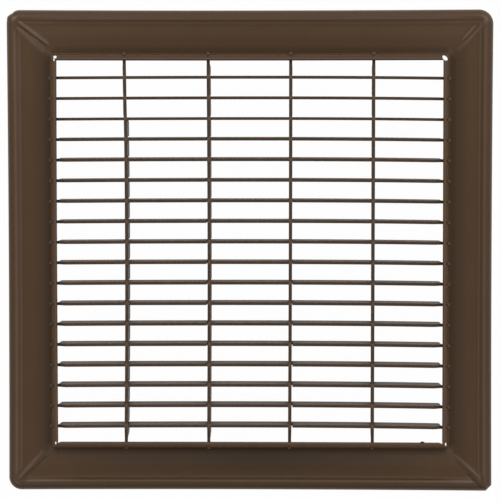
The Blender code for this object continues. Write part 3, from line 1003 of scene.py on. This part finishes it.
# Beads of paint swollen over the crossings of the bars
BEAD_HALF_SIZE = (0.0013, 0.0016, 0.00022)
BEAD_UNEVEN = 0.30
BEAD_NOISE_SCALE = 3000
BEAD_SEED = 1
# Share of pale paint on the beads
BEAD_PALE = 0.45


def crossing_beads(material):
    """An uneven bead of paint at every crossing, as one piece."""
    noise.seed_set(BEAD_SEED)
    model = bmesh.new()
    for y in FIN_PLACES:
        for mullion, x in zip(MULLION_NODES, MULLION_PLACES):
            spot = Vector((x + mullion_shift(mullion, y), y + fin_shift(x), BAR_FRONT))
            swelling = noise.noise_vector(spot * BEAD_NOISE_SCALE)
            uneven = Vector([1 + BEAD_UNEVEN * value for value in swelling])
            size = Vector(BEAD_HALF_SIZE) * uneven
            placed = Matrix.Translation(spot) @ Matrix.Diagonal(size).to_4x4()
            bmesh.ops.create_icosphere(model, subdivisions=2, radius=1.0, matrix=placed)
    mark_bends(model)
    rubbed = model.verts.layers.float.new("rubbed")
    for vert in model.verts:
        vert[rubbed] = BEAD_PALE
    draw_in(model)
    shown("crossing_beads", model, material).data.shade_smooth()


# A drip of paint on the edge of the bottom lip: its X and Y, and its half size
DRIP = (0.1069, -0.1182)
DRIP_HALF_SIZE = (0.0013, 0.0008, 0.0006, 1)


def paint_drip(material):
    """A dark drip that stands out from the edge of the lip."""
    model = bmesh.new()
    placed = Matrix.Translation((*DRIP, LIP_TOP - LIP_RADIUS / 2)) @ Matrix.Diagonal(DRIP_HALF_SIZE)
    bmesh.ops.create_icosphere(model, subdivisions=3, radius=1.0, matrix=placed)
    grimed = model.verts.layers.float.new("grimed")
    for vert in model.verts:
        vert[grimed] = 1.0
    shown("paint_drip", model, material).data.shade_smooth()


# Floor: pale, and white where the camera, a reflection or glass sees it
FLOOR_SIZE = 6.0
FLOOR_GAP = 0.0004
FLOOR_COLOUR = (0.8, 0.8, 0.8, 1.0)
FLOOR_SEEN_WHITE = 0.985
WHITE = (1.0, 1.0, 1.0, 1.0)


def add_floor():
    """A pale floor that keeps a little of the grille's shadow."""
    model = bmesh.new()
    bmesh.ops.create_grid(model, x_segments=1, y_segments=1, size=FLOOR_SIZE / 2)
    mesh = bpy.data.meshes.new("floor")
    model.to_mesh(mesh)
    model.free()
    floor = bpy.data.objects.new("floor", mesh)
    floor.location.z = cad_low.z - FLOOR_GAP
    bpy.context.scene.collection.objects.link(floor)
    finish = Finish(bpy.data.materials.new("pale_floor"))
    finish.tree.nodes.clear()
    seen = finish.node("ShaderNodeLightPath", {}, {}, "Is Camera Ray")
    seen = seen.most(finish.node("ShaderNodeLightPath", {}, {}, "Is Glossy Ray"))
    seen = seen.most(finish.node("ShaderNodeLightPath", {}, {}, "Is Transmission Ray"))
    matt = finish.node("ShaderNodeBsdfDiffuse", {}, {"Color": FLOOR_COLOUR})
    bright = finish.node("ShaderNodeEmission", {}, {"Color": WHITE, "Strength": 1.0})
    both = finish.node("ShaderNodeMixShader", {}, {0: seen * FLOOR_SEEN_WHITE, 1: matt, 2: bright})
    finish.node("ShaderNodeOutputMaterial", {}, {0: both})
    mesh.materials.append(finish.holder)


# Soft lamps over the corners: X, Y and power in watts
LAMPS = {
    "lamp_top_left": (-0.30, 0.30, 0.46),
    "lamp_top_right": (0.30, 0.30, 0.42),
    "lamp_bottom_left": (-0.30, -0.30, 0.24),
    "lamp_bottom_right": (0.30, -0.30, 0.25),
}
LAMP_HEIGHT = 0.28
LAMP_SIZE = 0.16
LAMP_AIM = 0.35


def add_lamps():
    """Four soft lamps, one over each corner, out of the camera's sight."""
    for name, (x, y, power) in LAMPS.items():
        light = bpy.data.lights.new(name, "AREA")
        light.shape = "DISK"
        light.size = LAMP_SIZE
        light.energy = power
        lamp = bpy.data.objects.new(name, light)
        lamp.location = (x, y, BAR_FRONT + LAMP_HEIGHT)
        aim = Vector((x * LAMP_AIM, y * LAMP_AIM, BAR_FRONT))
        lamp.rotation_euler = (lamp.location - aim).to_track_quat("Z", "Y").to_euler()
        lamp.visible_camera = False
        bpy.context.scene.collection.objects.link(lamp)


# Studio: edges of the bright ring of ceiling, as heights on a unit sphere, and its levels
RING_TOP = (0.995, 0.93)
RING_FOOT = (0.10, 0.55)
RING_LEVEL = 0.46
ROOM_LEVEL = 0.15
NORTH_GAIN = 0.26
KEY_WAY = Vector((0.45, 0.70, 0.55)).normalized()
KEY_RANGE = (0.78, 0.97)
KEY_LEVEL = 1.0


def add_world():
    """A soft studio: a bright ring of ceiling, dim overhead and at the horizon, and one key light."""
    world = bpy.data.worlds.new("studio")
    bpy.context.scene.world = world
    finish = Finish(world)
    finish.tree.nodes.clear()
    way = finish.node("ShaderNodeTexCoord", {}, {}, "Generated")
    up = finish.axis(way, "Z")
    north = finish.axis(way, "Y")
    ring = up.between(*RING_TOP) * up.between(*RING_FOOT)
    level = ring * RING_LEVEL + ROOM_LEVEL
    level = level * (1.0 + north * NORTH_GAIN)
    level = level + finish.facing(way, KEY_WAY).between(*KEY_RANGE) * KEY_LEVEL
    seen = finish.node("ShaderNodeLightPath", {}, {}, "Is Camera Ray")
    strength = level * (1 - seen) + seen
    light = finish.node("ShaderNodeBackground", {}, {"Color": WHITE, "Strength": strength})
    finish.node("ShaderNodeOutputWorld", {}, {0: light})


# Camera: place, aim and upward direction of the photograph, and a 36 mm wide sensor
CAMERA_PLACE = (0.043982, 0.107908, BAR_FRONT + 1.742507)
CAMERA_TARGET = (0.00036, 0.00107, BAR_FRONT)
CAMERA_UP = (-0.000855, 0.99812, -0.061277)
LENS = 203.92
SENSOR_WIDTH = 36.0
CLIP_RANGE = (0.05, 20.0)


def add_camera():
    lens = bpy.data.cameras.new("camera")
    lens.lens = LENS
    lens.sensor_width = SENSOR_WIDTH
    lens.clip_start, lens.clip_end = CLIP_RANGE
    camera = bpy.data.objects.new("camera", lens)
    camera.location = CAMERA_PLACE
    back = (Vector(CAMERA_PLACE) - Vector(CAMERA_TARGET)).normalized()
    right = Vector(CAMERA_UP).cross(back).normalized()
    camera.rotation_euler = Matrix((right, back.cross(right), back)).transposed().to_euler()
    bpy.context.scene.collection.objects.link(camera)
    bpy.context.scene.camera = camera


# Roughness and specular level of the paint
FRAME_GLOSS = (0.42, 0.25)
BAR_GLOSS = (0.62, 0.30)


def build():
    frame_paint = painted_steel("frame_paint", *FRAME_GLOSS)
    fin_paint = painted_steel("fin_paint", *BAR_GLOSS)
    mullion_paint = painted_steel("mullion_paint", *BAR_GLOSS)
    frame_half("frame_upper_right", "top_left", "top_right", "bottom_right", 1, 1, frame_paint)
    frame_half("frame_lower_left", "bottom_right", "bottom_left", "top_left", -1, -1, frame_paint)
    for node in FIN_NODES:
        bar_piece(node, fin_paint, "fin_paint", bend_fin)
    for node in MULLION_NODES:
        bar_piece(node, mullion_paint, "mullion_paint", bend_mullion)
    crossing_beads(mullion_paint)
    paint_drip(frame_paint)
    add_floor()
    add_lamps()
    add_world()
    add_camera()
    bpy.context.scene.view_settings.view_transform = "Standard"


build()
